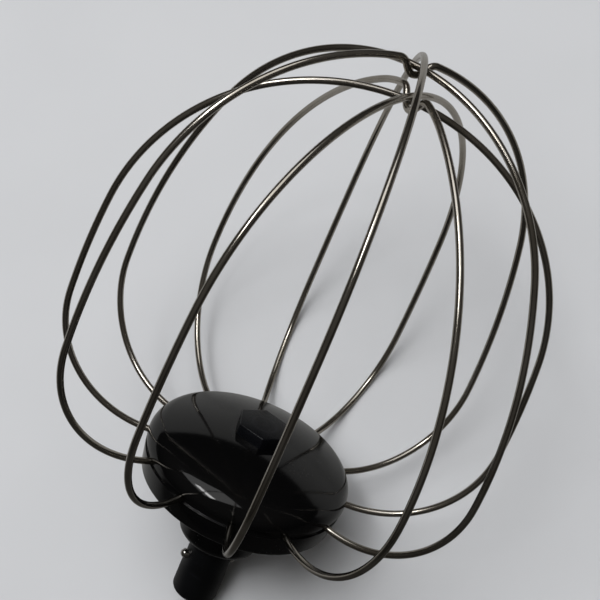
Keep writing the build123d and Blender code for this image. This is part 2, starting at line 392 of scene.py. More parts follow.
@dataclass(frozen=True)
class SatinCoating(Finish):
    """Satin dark coating on metal, with a fine grain, pale rubbing in scratches and one turned ring."""

    effects: Effects
    colour: Triple
    rubbed: Triple
    roughness: float
    axis: Matrix
    ring_radius: float
    density: float
    ring_width: float = 0.0007
    ring_share: float = 0.8
    scratch_share: float = 0.6
    cloud_share: float = 0.25
    cloud_polish: float = -0.06
    smoother: float = 0.05
    rougher: float = 0.07
    grain_per_metre: float = 3200.0
    grain_depth: float = 0.00004
    grain_strength: float = 0.4

    def surface(self, graph: Graph) -> NodeSocket:
        """Write the finish's nodes, on Object coordinates.

        Args:
            graph: The material's empty graph.

        Returns:
            The surface shader's socket.
        """
        grain = graph.noise(graph.here(), self.grain_per_metre, 2.0)
        scratches = graph.place_group(self.effects.scratches, lines_per_metre=1500.0, amount=0.6)
        clouds = graph.place_group(self.effects.cloudiness, "Value", patches_per_metre=110.0)
        ring = graph.place_group(self.effects.ring, origin=self.axis.translation,
                                 axis=self.axis.col[2].to_3d().normalized(), ring_radius=self.ring_radius,
                                 ring_width=self.ring_width)
        handled = graph.math("MULTIPLY", clouds, self.cloud_share)
        rubbing = graph.math("MULTIPLY_ADD", scratches, self.scratch_share, handled)
        marked = graph.math("MAXIMUM", rubbing, graph.math("MULTIPLY", ring, self.ring_share))
        uneven = graph.spread(grain, 0.3, 0.7, self.roughness - self.smoother, self.roughness + self.rougher)
        return self.principled(graph, graph.blend(marked, self.colour, self.rubbed),
                               graph.math("MULTIPLY_ADD", clouds, self.cloud_polish, uneven), IOR=self.density,
                               Normal=graph.bump(grain, self.grain_depth, self.grain_strength))


@dataclass(frozen=True)
class BrightSteel(Finish):
    """Bright ground steel with fine scratches."""

    effects: Effects
    colour: Triple = (0.50, 0.485, 0.46)
    dulled: Triple = (0.30, 0.285, 0.26)
    dull_share: float = 0.6
    smooth: float = 0.14
    scratched: float = 0.35
    scratch_depth: float = 0.00001
    scratch_strength: float = 0.3

    def surface(self, graph: Graph) -> NodeSocket:
        """Write the finish's nodes, on Object coordinates.

        Args:
            graph: The material's empty graph.

        Returns:
            The surface shader's socket.
        """
        scratches = graph.place_group(self.effects.scratches, lines_per_metre=4200.0, amount=0.8)
        clouds = graph.place_group(self.effects.cloudiness, "Value", patches_per_metre=420.0)
        dull = graph.math("MULTIPLY", clouds, self.dull_share)
        roughness = graph.math("MULTIPLY_ADD", scratches, self.scratched - self.smooth, self.smooth)
        return self.principled(graph, graph.blend(dull, self.colour, self.dulled), roughness, Metallic=1.0,
                               Normal=graph.bump(scratches, self.scratch_depth, self.scratch_strength, invert=True))


@dataclass(frozen=True)
class PaleFloor(Finish):
    """Plain pale matt floor with a painted reflection: glossy rays see it painted darker, and darkest towards the
    viewer.
    """

    colour: Triple = (0.60, 0.61, 0.63)
    # Painted reflection: colours that glossy rays see instead of the floor's own, darker, and near black towards the
    # viewer.
    mirrored: Triple = (0.35, 0.35, 0.345)
    painted_reflection_near: Triple = (0.03, 0.029, 0.027)
    viewer_azimuth: float = -150.5
    painted_reflection_start: float = 0.02
    painted_reflection_end: float = 0.11
    seamless_start: float = 0.35
    seamless_end: float = 1.2
    roughness: float = 0.75
    patches_per_metre: float = 14.0
    patch_shade: float = 0.97

    def make(self) -> Material:
        """Build the material.

        Returns:
            The material, whose plain far part is no lamp.
        """
        material = super().make()
        material.cycles.emission_sampling = "NONE"
        return material

    def surface(self, graph: Graph) -> NodeSocket:
        """Write the finish's nodes, very faintly uneven, with a painted reflection that is darker in glossy rays;
        far out the camera sees the plain colour.

        Args:
            graph: The material's empty graph.

        Returns:
            The surface shader's socket.
        """
        place = graph.here()
        shade = graph.spread(graph.noise(place, self.patches_per_metre, 3.0), 0.3, 0.7, 0.0, 1.0)
        seen = graph.blend(shade, self.colour, tuple(self.patch_shade * part for part in self.colour))
        turn = radians(self.viewer_azimuth)
        along = graph.vector_math("DOT_PRODUCT", place, (cos(turn), sin(turn), 0.0)).outputs["Value"]
        painted_reflection_fade = graph.spread(along, self.painted_reflection_start, self.painted_reflection_end, 0.0, 1.0)
        ray = graph.add("ShaderNodeLightPath").outputs
        # Painted reflection: glossy rays see the floor painted darker, fading to near black towards the viewer.
        colour = graph.blend(ray["Is Glossy Ray"], seen, graph.blend(painted_reflection_fade, self.mirrored, self.painted_reflection_near))
        near = self.principled(graph, colour, self.roughness)
        away = graph.vector_math("LENGTH", place).outputs["Value"]
        share = graph.math("MULTIPLY", graph.spread(away, self.seamless_start, self.seamless_end, 0.0, 1.0),
                           ray["Is Camera Ray"])
        plain = graph.add("ShaderNodeEmission", {"Color": opaque(self.colour), "Strength": 1.0})
        return graph.add("ShaderNodeMixShader", {0: share, 1: near, 2: plain.outputs[0]}).outputs[0]


class Pen:
    """Draws a line of points in a plane by straight runs and tangent arcs."""

    def __init__(self, start: Vector, heading: float, most_turn: float = 3.0, most_run: float = 1.5) -> None:
        """Put the pen down.

        Args:
            start: First point.
            heading: Direction in degrees.
            most_turn: Largest turn between two points, in degrees.
            most_run: Longest step between two points.
        """
        self.points = [Vector(start)]
        self.heading = radians(heading)
        self.most_turn = radians(most_turn)
        self.most_run = most_run

    def straight(self, length: float) -> "Pen":
        """Draw a straight run of a length.

        Returns:
            The pen itself.
        """
        steps = max(1, round(length / self.most_run))
        ahead = Vector((cos(self.heading), sin(self.heading)))
        start = self.points[-1]
        self.points += [start + ahead * (length * (step + 1) / steps) for step in range(steps)]
        return self

    def arc(self, radius: float, turn: float) -> "Pen":
        """Draw an arc that goes on from the line.

        Args:
            radius: Radius of the arc.
            turn: Turn in degrees, positive to the left.

        Returns:
            The pen itself.
        """
        side = 1.0 if turn > 0 else -1.0
        angle = radians(abs(turn))
        steps = max(2, round(angle / min(self.most_turn, self.most_run / radius)))
        out = self.heading - side * pi / 2
        centre = self.points[-1] - radius * Vector((cos(out), sin(out)))
        for step in range(steps):
            along = out + side * angle * (step + 1) / steps
            self.points.append(centre + radius * Vector((cos(along), sin(along))))
        self.heading += side * angle
        return self


def oval(half_width: float, height: float, fullness: float) -> Triple:
    """Work out two tangent arcs that rise from upright to level.

    Args:
        half_width: Reach of the arcs inwards.
        height: Rise of the arcs.
        fullness: How square the shoulder is, from 0 to 1.

    Returns:
        Side radius, top radius, and the angle in degrees at which they meet.
    """
    shoulder = 2 * atan(fullness * half_width / height)
    across, up = cos(shoulder), sin(shoulder)
    top = half_width * up * (1 - fullness) / (across + up - 1)
    side = (half_width - top * across) / (1 - across)
    return side, top, degrees(shoulder)


def rounded(corners: Sequence[Triple], steps: int = 6) -> list[Vector]:
    """Round the corners of an outline.

    Args:
        corners: Radius, height and rounding of each corner, in order round the closed outline.
        steps: Number of steps in each rounding.

    Returns:
        Points of the outline.
    """
    places = [Vector((radius, height)) for radius, height, _ in corners]
    points = []
    for index, (_, _, rounding) in enumerate(corners):
        here = places[index]
        before = (places[index - 1] - here).normalized()
        after = (places[(index + 1) % len(places)] - here).normalized()
        if not rounding:
            points.append(here)
            continue
        half = before.angle(after) / 2
        centre = here + (before + after).normalized() * (rounding / sin(half))
        first = here + before * (rounding / tan(half)) - centre
        last = here + after * (rounding / tan(half)) - centre
        points += [centre + first.slerp(last, step / steps) * rounding for step in range(steps + 1)]
    return points


@dataclass(frozen=True)
class Placement:
    """Where the whisk lies on the floor, from the record's mount at the end of its shaft."""

    mount_drop: float = 44.1
    roll: float = 1.8085

    def matrix(self) -> Matrix:
        """Work out the whisk's place.

        Returns:
            The move from the upright whisk in millimetres to the floor in metres.
        """
        mount = frame["record"]["mounts"][0]
        axis = -Vector(mount["axis"]).normalized()
        level = Vector((0, 0, 1)).cross(axis).normalized()
        first = Matrix.Rotation(radians(self.roll), 3, axis) @ level
        turn = Matrix((first, axis.cross(first), axis)).transposed().to_4x4()
        origin = Vector(mount["pos_m"]) + axis * self.mount_drop * MM
        return Matrix.Translation(origin) @ turn @ Matrix.Scale(MM, 4)


class Trees:
    """Geometry trees of the repeating and turned shapes."""

    SHARP_ANGLE = radians(32)
    SEAM = 0.0005
    SLIVER = 0.002
    WIRE_PLACE = "wire_place"

    def __init__(self) -> None:
        """Build every tree once."""
        self.wire = self.wire_tree()
        self.turned = self.turned_tree()
        self.seats = self.cut_tree("Wire seats round the base", open_above=True)
        self.hole = self.cut_tree("Round hole across a shaft", open_above=False)

    @staticmethod
    def start(name: str, sizes: Mapping[str, str]) -> Graph:
        """Start a tree that takes a shape, sizes by socket type and a finish, and gives a shape."""
        sockets = {"Geometry": GEOMETRY, **sizes, "Finish": MATERIAL}
        return Graph.group(name, "GeometryNodeTree", sockets, {"Geometry": GEOMETRY})

    @classmethod
    def close(cls, graph: Graph, geometry: NodeSocket) -> NodeTree:
        """End a tree with smooth shading that keeps the sharp edges, plain meshes and the finish.

        Args:
            graph: The tree's graph.
            geometry: The shape so far.

        Returns:
            The finished tree.
        """
        angle = graph.add("GeometryNodeInputMeshEdgeAngle").outputs["Unsigned Angle"]
        sharp = graph.math("GREATER_THAN", angle, cls.SHARP_ANGLE)
        smooth = graph.shape("SetShadeSmooth", {0: geometry, "Shade Smooth": True}, domain="FACE")
        creased = graph.shape("SetShadeSmooth", {0: smooth, 1: sharp, "Shade Smooth": False}, domain="EDGE")
        plain = graph.shape("RealizeInstances", {0: creased})
        dressed = graph.shape("SetMaterial", {"Geometry": plain, "Material": graph.source["Finish"]})
        return graph.finish_group("Geometry", dressed)

    @staticmethod
    def capture(graph: Graph, geometry: NodeSocket, kind: str, value: NodeSocket) -> Node:
        """Keep a value of a curve's points for the mesh that is made of it.

        Args:
            graph: The tree's graph.
            geometry: The curve.
            kind: Type of the value.
            value: The value.

        Returns:
            The node, with the curve and the kept value as outputs.
        """
        node = graph.add("GeometryNodeCaptureAttribute")
        node.capture_items.new(kind, "Value")
        graph.tree.links.new(geometry, node.inputs[0])
        graph.tree.links.new(value, node.inputs[1])
        return node

    @classmethod
    def wire_tree(cls) -> NodeTree:
        """Build the tree that draws round wire along a line.

        Returns:
            The tree, which also stores the length and the way round for the finish.
        """
        graph = cls.start("Round wire along a line", {"Wire Radius": FLOAT, "Sides": INTEGER})
        size = graph.source
        line = graph.shape("MeshToCurve", {0: size["Geometry"]})
        ring = graph.shape("CurvePrimitiveCircle", {"Resolution": size["Sides"], "Radius": size["Wire Radius"]})
        length = graph.add("GeometryNodeSplineParameter").outputs["Length"]
        along = cls.capture(graph, line, "FLOAT", length).outputs
        around = cls.capture(graph, ring, "VECTOR", graph.shape("InputPosition", {})).outputs
        tube = graph.shape("CurveToMesh", {"Curve": along[0], "Profile Curve": around[0], "Fill Caps": True})
        way = graph.add("ShaderNodeSeparateXYZ", {0: around[1]}).outputs
        place = graph.vector(along[1], way[0], way[1])
        stored = graph.shape("StoreNamedAttribute", {"Geometry": tube, "Name": cls.WIRE_PLACE, "Value": place},
                             data_type="FLOAT_VECTOR", domain="POINT")
        return cls.close(graph, stored)

    @classmethod
    def turned_tree(cls) -> NodeTree:
        """Build the tree that turns an outline round the axis.

        Returns:
            The tree; the outline has its radius less the path's radius on X, and its depth on Y.
        """
        graph = cls.start("Outline turned round the axis", {"Path Radius": FLOAT, "Segments": INTEGER})
        size = graph.source
        outline = graph.shape("MeshToCurve", {0: size["Geometry"]})
        path = graph.shape("CurvePrimitiveCircle", {"Resolution": size["Segments"], "Radius": size["Path Radius"]})
        skin = graph.shape("CurveToMesh", {"Curve": path, "Profile Curve": outline})
        return cls.close(graph, graph.shape("MergeByDistance", {0: skin, "Distance": cls.SEAM}))

    @classmethod
    def cut_tree(cls, name: str, open_above: bool) -> NodeTree:
        """Build a tree that cuts a ring of level round holes into a shape.

        Args:
            name: Name of the tree.
            open_above: Whether the holes are seats, open to above.

        Returns:
            The tree; an odd number of sides gives a hole a flat below, so that it can end just above a face.
        """
        graph = cls.start(name, {"Radius": FLOAT, "Level": FLOAT, "Middle": FLOAT, "Length": FLOAT,
                                 "Count": INTEGER, "First Azimuth": FLOAT, "Sides": INTEGER})
        size = graph.source
        points = graph.shape("Points", {"Count": size["Count"]})
        step = graph.math("DIVIDE", 2 * pi, size["Count"])
        azimuth = graph.math("MULTIPLY_ADD", graph.shape("InputIndex", {}), step, size["First Azimuth"])
        turn = graph.vector(0.0, 0.0, azimuth)
        place = graph.vector(size["Middle"], 0.0, size["Level"])
        drill = graph.shape("MeshCylinder", {"Vertices": size["Sides"], "Radius": size["Radius"],
                                             "Depth": size["Length"]})
        cutters = [graph.shape("Transform", {"Geometry": drill, "Translation": place,
                                             "Rotation": (0.0, -pi / 2, 0.0)})]
        if open_above:
            width = graph.math("MULTIPLY", size["Radius"], 2.0)
            tall = graph.math("MULTIPLY", size["Radius"], 4.0)
            block = graph.shape("MeshCube", {"Size": graph.vector(size["Length"], width, tall)})
            lift = graph.vector(size["Middle"], 0.0, graph.math("ADD", size["Level"], width))
            cutters.append(graph.shape("Transform", {"Geometry": block, "Translation": lift}))
        rest = graph.add("GeometryNodeMeshBoolean", {0: size["Geometry"]}, operation="DIFFERENCE", solver="MANIFOLD")
        for cutter in cutters:
            ring = graph.shape("InstanceOnPoints", {"Points": points, "Instance": cutter, "Rotation": turn})
            graph.tree.links.new(graph.shape("RealizeInstances", {0: ring}), rest.inputs[1])
        return cls.close(graph, graph.shape("MergeByDistance", {0: rest.outputs[0], "Distance": cls.SLIVER}))


class Bench:
    """Turns outlines and node trees into finished pieces in their place."""

    PATH_RADIUS = 20.0
    SEGMENTS = 192

    def __init__(self, placement: Placement, trees: Trees) -> None:
        """Set up the bench.

        Args:
            placement: Where the whisk lies.
            trees: The geometry trees.
        """
        self.place = placement.matrix()
        self.trees = trees

    @staticmethod
    def polyline(points: Sequence[Vector], closed: bool) -> Mesh:
        """Make a mesh of one line of edges.

        Args:
            points: Points in a plane or in space.
            closed: Whether the last point joins the first.

        Returns:
            The mesh.
        """
        mesh = bpy.data.meshes.new("line")
        edges = [(index, index + 1) for index in range(len(points) - 1)]
        if closed:
            edges.append((len(points) - 1, 0))
        mesh.from_pydata([point.to_3d() for point in points], edges, [])
        return mesh

    @staticmethod
    def grow(mesh: Mesh, tree: NodeTree, finish: Material, sizes: Mapping[str, object]) -> Mesh:
        """Run a geometry tree on a mesh and keep the result as a plain mesh.

        Args:
            mesh: The mesh that goes in.
            tree: The geometry tree.
            finish: The material.
            sizes: Other values by input name.

        Returns:
            The plain mesh that comes out.
        """
        values = {**sizes, "Finish": finish}
        holder = bpy.data.objects.new("holder", mesh)
        bpy.context.scene.collection.objects.link(holder)
        modifier = holder.modifiers.new("shape", "NODES")
        modifier.node_group = tree
        for item in tree.interface.items_tree:
            if item.in_out == "INPUT" and item.name in values:
                modifier[item.identifier] = values[item.name]
        graph = bpy.context.evaluated_depsgraph_get()
        result = bpy.data.meshes.new_from_object(holder.evaluated_get(graph), depsgraph=graph)
        holder.modifiers.clear()
        bpy.data.objects.remove(holder)
        bpy.data.meshes.remove(mesh)
        return result

    def turn(self, outline: Sequence[Vector], finish: Material, closed: bool = True) -> Mesh:
        """Turn an outline of radius and height, closed or not, round the axis, and return the mesh."""
        drawn = [Vector((point.x - self.PATH_RADIUS, -point.y)) for point in outline]
        return self.grow(self.polyline(drawn, closed), self.trees.turned, finish,
                         {"Path Radius": self.PATH_RADIUS, "Segments": self.SEGMENTS})

    def finish(self, name: str, mesh: Mesh, material: Material, slot: Slot) -> Object:
        """Lay a mesh in its place and let it stand for its CAD node.

        Args:
            name: Name of the CAD node.
            mesh: The piece in the upright whisk, in millimetres.
            material: Its finish.
            slot: The record's material slot; not used.

        Returns:
            The finished piece.
        """
        mesh.transform(self.place)
        edit = bmesh.new()
        edit.from_mesh(mesh)
        bmesh.ops.recalc_face_normals(edit, faces=edit.faces)
        edit.to_mesh(mesh)
        edit.free()
        mesh.materials.clear()
        mesh.materials.append(material)
        piece = bpy.data.objects.new(f"{name}_dressed", mesh)
        bpy.context.scene.collection.objects.link(piece)
        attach(piece, BODY)
        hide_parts(name)
        LOG.info("%s: %d faces, %s", piece.name, len(mesh.polygons), material.name)
        return piece


@dataclass(frozen=True)
class Hub:
    """The two gloss halves that clamp the wires: a low dome above, and a tapering base with the boss below."""

    radius: float = 31.8
    edge_softening: float = 0.2
    dome_skirt: float = 0.5
    dome_rise: float = 11.3
    dome_fullness: float = 0.24
    dome_wall: float = 3.0
    clamp_rim: float = 10.0
    groove_depth: float = 0.9
    base_top_inset: float = 0.3
    base_edge_inset: float = 1.2
    base_depth: float = 8.7
    base_edge_rounding: float = 0.8
    cone_drop: float = 11.0
    pocket_depth: float = 7.0
    boss_radius: float = 13.0
    boss_length: float = 8.5
    boss_edge_rounding: float = 2.8
    boss_root_rounding: float = 3.0
    bolt_hole_radius: float = 4.2
    bolt_post_radius: float = 8.2
    bolt_flat_radius: float = 9.145
    socket_radius: float = 7.0
    socket_depth: float = 16.0
    seat_radius: float = 1.05
    seat_length: float = 14.0
    seat_end_gap: float = 0.05
    wire_diameter: float = 2.0
    first_seat: float = 15.0
    seats: int = 12
    seat_sides: int = 33

    @property
    def seat_inner(self) -> float:
        """Radius at which the wires end inside the hub."""
        return self.radius - self.seat_length

    @property
    def boss_end(self) -> float:
        """Level of the boss's lower end."""
        return -self.base_depth - self.cone_drop - self.boss_length

    @property
    def socket_top(self) -> float:
        """Level of the upper end of the shaft's socket."""
        return self.boss_end + self.socket_depth

    @property
    def flat_level(self) -> float:
        """Level of the flat on the crown that carries the bolt's head."""
        top = oval(self.radius, self.dome_rise, self.dome_fullness)[1]
        return self.dome_skirt + self.dome_rise - top + (top**2 - self.bolt_flat_radius**2) ** 0.5

    @property
    def seat_sizes(self) -> dict[str, object]:
        """Sizes of the wire seats, by input of their tree."""
        length = self.seat_length + self.seat_end_gap
        return {"Radius": self.seat_radius, "Level": -self.seat_radius, "Length": length,
                "Middle": self.radius - length / 2, "Count": self.seats,
                "First Azimuth": radians(self.first_seat), "Sides": self.seat_sides}

    def arch(self, radius: float, rise: float, inner: float, softening: float) -> list[Vector]:
        """Draw a dome's outline from its foot in to a smaller radius.

        Args:
            radius: Radius of the foot.
            rise: Rise above the skirt.
            inner: Radius at which the line ends.
            softening: Rounding of the edge at the foot.

        Returns:
            Points of radius and height.
        """
        side, top, shoulder = oval(radius, rise, self.dome_fullness)
        pen = Pen(Vector((radius - softening, 0.0)), 0.0 if softening else 90.0)
        if softening:
            pen.arc(softening, 90.0)
        pen.straight(self.dome_skirt - softening).arc(side, shoulder)
        pen.arc(top, 90.0 - shoulder - degrees(asin(inner / top)))
        return pen.points

    def dome_outline(self) -> list[Vector]:
        """Draw the dome, cored below round the bolt's post.

        Returns:
            Points of radius and height.
        """
        outside = self.arch(self.radius, self.dome_rise, self.bolt_flat_radius, self.edge_softening)
        core = self.arch(self.radius - self.clamp_rim, self.dome_rise - self.dome_wall, self.bolt_post_radius, 0.0)
        hole = [Vector((self.bolt_hole_radius, self.flat_level)), Vector((self.bolt_hole_radius, 0.0)),
                Vector((self.bolt_post_radius, 0.0))]
        return outside + hole + core[::-1]

    def base_outline(self) -> list[Vector]:
        """Draw the base, without its wire seats.

        Returns:
            Points of radius and height.
        """
        groove = self.radius - self.groove_depth
        groove_floor = -2 * self.seat_radius
        pocket_radius = self.seat_inner - self.wire_diameter
        return rounded((
            (groove, 0.0, 0.0),
            (groove, groove_floor, self.edge_softening),
            (self.radius - self.base_top_inset, groove_floor, self.edge_softening),
            (self.radius - self.base_edge_inset, -self.base_depth, self.base_edge_rounding),
            (self.boss_radius, -self.base_depth - self.cone_drop, self.boss_root_rounding),
            (self.boss_radius, self.boss_end, self.boss_edge_rounding),
            (self.socket_radius, self.boss_end, 0.0),
            (self.socket_radius, self.socket_top, 0.0),
            (self.bolt_hole_radius, self.socket_top, 0.0),
            (self.bolt_hole_radius, 0.0, 0.0),
            (self.bolt_post_radius, 0.0, 0.0),
            (self.bolt_post_radius, -self.pocket_depth, 0.0),
            (pocket_radius, -self.pocket_depth, 0.0),
            (pocket_radius, 0.0, 0.0),
        ))


@dataclass(frozen=True)
class Drive:
    """The shaft in the boss, its cross pin, and the bolt that clamps the hub on the shaft."""

    hub: Hub
    shaft_radius: float = 7.0
    shaft_reach: float = 22.8
    shaft_edge_rounding: float = 1.5
    land_radius: float = 7.25
    land_gap: float = 0.6
    land_taper: float = 3.0
    pin_diameter: float = 3.0
    pin_drop: float = 8.4
    pin_proud: float = 2.2
    pin_azimuth: float = 38.0
    hex_across_flats: float = 14.8
    hex_height: float = 3.6
    hex_azimuth: float = 49.0
    hex_softening: float = 0.4
    bolt_radius: float = 4.0
    bolt_engagement: float = 12.0

    @property
    def pin_level(self) -> float:
        """Level of the cross pin's middle."""
        return self.hub.boss_end - self.pin_drop

    @property
    def bolt_end(self) -> float:
        """Level of the bolt's lower end."""
        return self.hub.socket_top - self.bolt_engagement

    @property
    def hole_sizes(self) -> dict[str, object]:
        """Sizes of the pin's hole, by input of its tree."""
        return {"Radius": self.pin_diameter / 2, "Level": self.pin_level, "Length": 4 * self.shaft_radius,
                "Middle": 0.0, "Count": 1, "First Azimuth": radians(self.pin_azimuth), "Sides": Bench.SEGMENTS}

    @property
    def pin_place(self) -> Matrix:
        """Move that lays the upright pin in its hole."""
        across = Matrix.Rotation(radians(self.pin_azimuth), 4, "Z") @ Matrix.Rotation(pi / 2, 4, "Y")
        return Matrix.Translation((0.0, 0.0, self.pin_level)) @ across

    def shaft_outline(self) -> list[Vector]:
        """Draw the shaft with its land and the bolt's tapped hole, without the pin's hole.

        Returns:
            Points of radius and height, from the axis to the axis.
        """
        end = self.hub.boss_end - self.shaft_reach
        land_top = self.pin_level - self.pin_diameter / 2 - self.land_gap
        return rounded((
            (0.0, end, 0.0),
            (self.land_radius, end, self.shaft_edge_rounding),
            (self.land_radius, land_top - self.land_taper, 0.0),
            (self.shaft_radius, land_top, 0.0),
            (self.shaft_radius, self.hub.socket_top, 0.0),
            (self.bolt_radius, self.hub.socket_top, 0.0),
            (self.bolt_radius, self.bolt_end, 0.0),
            (0.0, self.bolt_end, 0.0),
        ))

    def pin_outline(self) -> list[Vector]:
        """Draw the upright cross pin, with domed ends.

        Returns:
            Points of radius and height, from the axis to the axis.
        """
        radius = self.pin_diameter / 2
        straight = 2 * self.shaft_radius + 2 * self.pin_proud - self.pin_diameter
        pen = Pen(Vector((0.0, -straight / 2 - radius)), 0.0, most_turn=6.0)
        return pen.arc(radius, 90.0).straight(straight).arc(radius, 90.0).points

    def bolt(self, arc_steps: int = 8) -> Mesh:
        """Build the clamp bolt.

        Args:
            arc_steps: Steps of the round shank for each side of the head.

        Returns:
            The bolt's mesh: a hex head with softened edges, and the shank below it.
        """
        corner = self.hex_across_flats / 2 / cos(radians(30))
        low = self.hub.flat_level
        edit = bmesh.new()

        def ring(radius: float, level: float, count: int) -> list[bmesh.types.BMVert]:
            """Add a ring of points at a level."""
            turns = [radians(self.hex_azimuth) + 2 * pi * step / count for step in range(count)]
            return [edit.verts.new((radius * cos(turn), radius * sin(turn), level)) for turn in turns]

        top = ring(corner, low + self.hex_height, 6)
        foot = ring(corner, low, 6)
        neck = ring(self.bolt_radius, low, 6 * arc_steps)
        tip = ring(self.bolt_radius, self.bolt_end, 6 * arc_steps)
        edit.faces.new(top)
        edit.faces.new(tip[::-1])
        for side in range(6):
            after = (side + 1) % 6
            edit.faces.new((top[side], foot[side], foot[after], top[after]))
            bow = [neck[(side * arc_steps + step) % len(neck)] for step in range(arc_steps + 1)]
            edit.faces.new([foot[after], foot[side], *bow])
        for step in range(len(neck)):
            after = (step + 1) % len(neck)
            wall = edit.faces.new((neck[step], tip[step], tip[after], neck[after]))
            wall.smooth = True
        edges = [edge for edge in edit.edges if all(vert in top or vert in foot for vert in edge.verts)
                 and any(vert in top for vert in edge.verts)]
        bmesh.ops.recalc_face_normals(edit, faces=edit.faces)
        softened = bmesh.ops.bevel(edit, geom=edges, offset=self.hex_softening, segments=3, profile=0.5,
                                   affect="EDGES", clamp_overlap=True)
        for face in softened["faces"]:
            face.smooth = True
        mesh = bpy.data.meshes.new("bolt")
        edit.to_mesh(mesh)
        edit.free()
        mesh.set_sharp_from_angle(angle=Trees.SHARP_ANGLE)
        return mesh


@dataclass(frozen=True)
class WireLoop:
    """One bent loop: its crown above the parting plane, its swell past the balloon, its lean in degrees, and
    how full its shoulders are from 0 to 1."""

    name: str
    crown: float
    swell: float
    lean: float
    fullness: float
    crossing: Crossing
    passes_below: int = 0


@dataclass(frozen=True)
class WireBalloon:
    """Six loops of wire that cross at the crown, in the order of their seats round the hub."""

    hub: Hub
    radius: float = 67.0
    wire_lead: float = 1.0
    under_gap: float = 0.4
    dip_bend: float = 3.0
    dip_slope: float = 50.0
    sides: int = 20
    loops: tuple[WireLoop, ...] = (
        WireLoop("short_wire_middle", 120.9, -0.2, -0.4, 0.09, Crossing.MIDDLE),
        WireLoop("long_wire_under", 131.1, 0.5, -1.2, 0.19, Crossing.UNDER, passes_below=5),
        WireLoop("short_wire_over", 123.2, -1.2, 1.2, 0.10, Crossing.OVER),
        WireLoop("long_wire_over", 131.8, 0.8, 0.3, 0.10, Crossing.OVER),
        WireLoop("short_wire_under", 123.8, 3.3, 1.0, 0.79, Crossing.UNDER, passes_below=0),
        WireLoop("long_wire_middle", 129.5, -0.2, 1.0, 0.32, Crossing.MIDDLE),
    )

    @property
    def pitch(self) -> float:
        """Angle in degrees between one seat and the next."""
        return 360.0 / self.hub.seats

    @property
    def seat_level(self) -> float:
        """Level of the wires' middle in their seats."""
        return -self.hub.seat_radius

    @property
    def wire_sizes(self) -> dict[str, object]:
        """Sizes of the wire, by input of its tree."""
        return {"Wire Radius": self.hub.wire_diameter / 2, "Sides": self.sides}

    def shift(self, loop: WireLoop, level: float) -> float:
        """Return how far a loop's lean carries it sideways at a level."""
        return (level - self.seat_level) * sin(radians(loop.lean))

    def crown_half(self, pen: Pen, index: int, side: int, top: float, left: float) -> None:
        """Draw from the end of the belly to the middle of the crown.

        Args:
            pen: The pen at the end of the belly.
            index: Number of the loop.
            side: 1 for the first half, -1 for the half that is mirrored.
            top: Radius of the crown.
            left: Turn in degrees that is left to the level.
        """
        loop = self.loops[index]
        if loop.crossing is not Crossing.UNDER:
            pen.arc(top, left)
            return
        above = self.loops[loop.passes_below]
        level = above.crown - self.hub.wire_diameter - self.under_gap
        apart = radians((loop.passes_below - index) * self.pitch)
        along = (cos(apart) * self.shift(loop, level) - self.shift(above, above.crown)) / sin(apart)
        depth = loop.crown - level
        slope = radians(self.dip_slope)
        rest = top - self.dip_bend
        turn = acos(cos(slope) * (1 + (2 * self.dip_bend - depth) / rest) - 2 * self.dip_bend / rest)
        rise = turn - slope
        flank = (rest * sin(rise) - 2 * self.dip_bend * sin(slope)) / cos(slope)
        aside = asin(side * along / (top - depth))
        pen.arc(top, left - degrees(rise + aside)).arc(self.dip_bend, degrees(turn))
        pen.straight(flank).arc(self.dip_bend, -self.dip_slope)

    def half(self, index: int, side: int) -> list[Vector]:
        """Draw one half of a loop in its own plane, from its seat to the crown.

        Args:
            index: Number of the loop.
            side: 1 for the first half, -1 for the half that is mirrored.

        Returns:
            Points of reach and height above the seats.
        """
        loop = self.loops[index]
        reach = self.radius + loop.swell
        start = self.hub.radius + self.wire_lead
        bend = reach - start
        belly, top, shoulder = oval(reach, loop.crown - self.seat_level - bend, loop.fullness)
        pen = Pen(Vector((self.hub.seat_inner, 0.0)), 0.0, most_turn=4.0, most_run=1.3)
        pen.straight(start - self.hub.seat_inner).arc(bend, 90.0).arc(belly, shoulder)
        self.crown_half(pen, index, side, top, 90.0 - shoulder)
        return pen.points

    def line(self, index: int) -> list[Vector]:
        """Draw a whole loop in its place round the axis.

        Args:
            index: Number of the loop.

        Returns:
            Points of the wire's middle.
        """
        first = self.half(index, 1)
        second = [Vector((-point.x, point.y)) for point in self.half(index, -1)]
        azimuth = radians(self.hub.first_seat + index * self.pitch)
        lean = radians(self.loops[index].lean)
        outward = Vector((cos(azimuth), sin(azimuth), 0.0))
        upward = Vector((-sin(azimuth) * sin(lean), cos(azimuth) * sin(lean), cos(lean)))
        seat = Vector((0.0, 0.0, self.seat_level))
        return [seat + outward * point.x + upward * point.y for point in first[:-1] + second[::-1]]


@dataclass(frozen=True)
class SoftLamp:
    """A large soft rectangular lamp over the whisk, which may be left out of reflections."""

    name: str
    place: Triple
    size: tuple[float, float]
    power: float
    heading: float
    mirrored: bool = True
    aim: Triple = (0.0, 0.0, 0.0)

    def hang(self) -> Object:
        """Put the lamp in the scene.

        Returns:
            The lamp's object.
        """
        data = bpy.data.lights.new(self.name, "AREA")
        data.shape = "RECTANGLE"
        data.size, data.size_y = self.size
        data.energy = self.power
        lamp = bpy.data.objects.new(self.name, data)
        lamp.visible_glossy = self.mirrored
        lamp.location = self.place
        down = (Vector(self.place) - Vector(self.aim)).normalized()
        ahead = Vector((cos(radians(self.heading)), sin(radians(self.heading)), 0.0))
        across = ahead.cross(down).normalized()
        lamp.rotation_euler = Matrix((across, down.cross(across), down)).transposed().to_euler()
        bpy.context.scene.collection.objects.link(lamp)
        return lamp


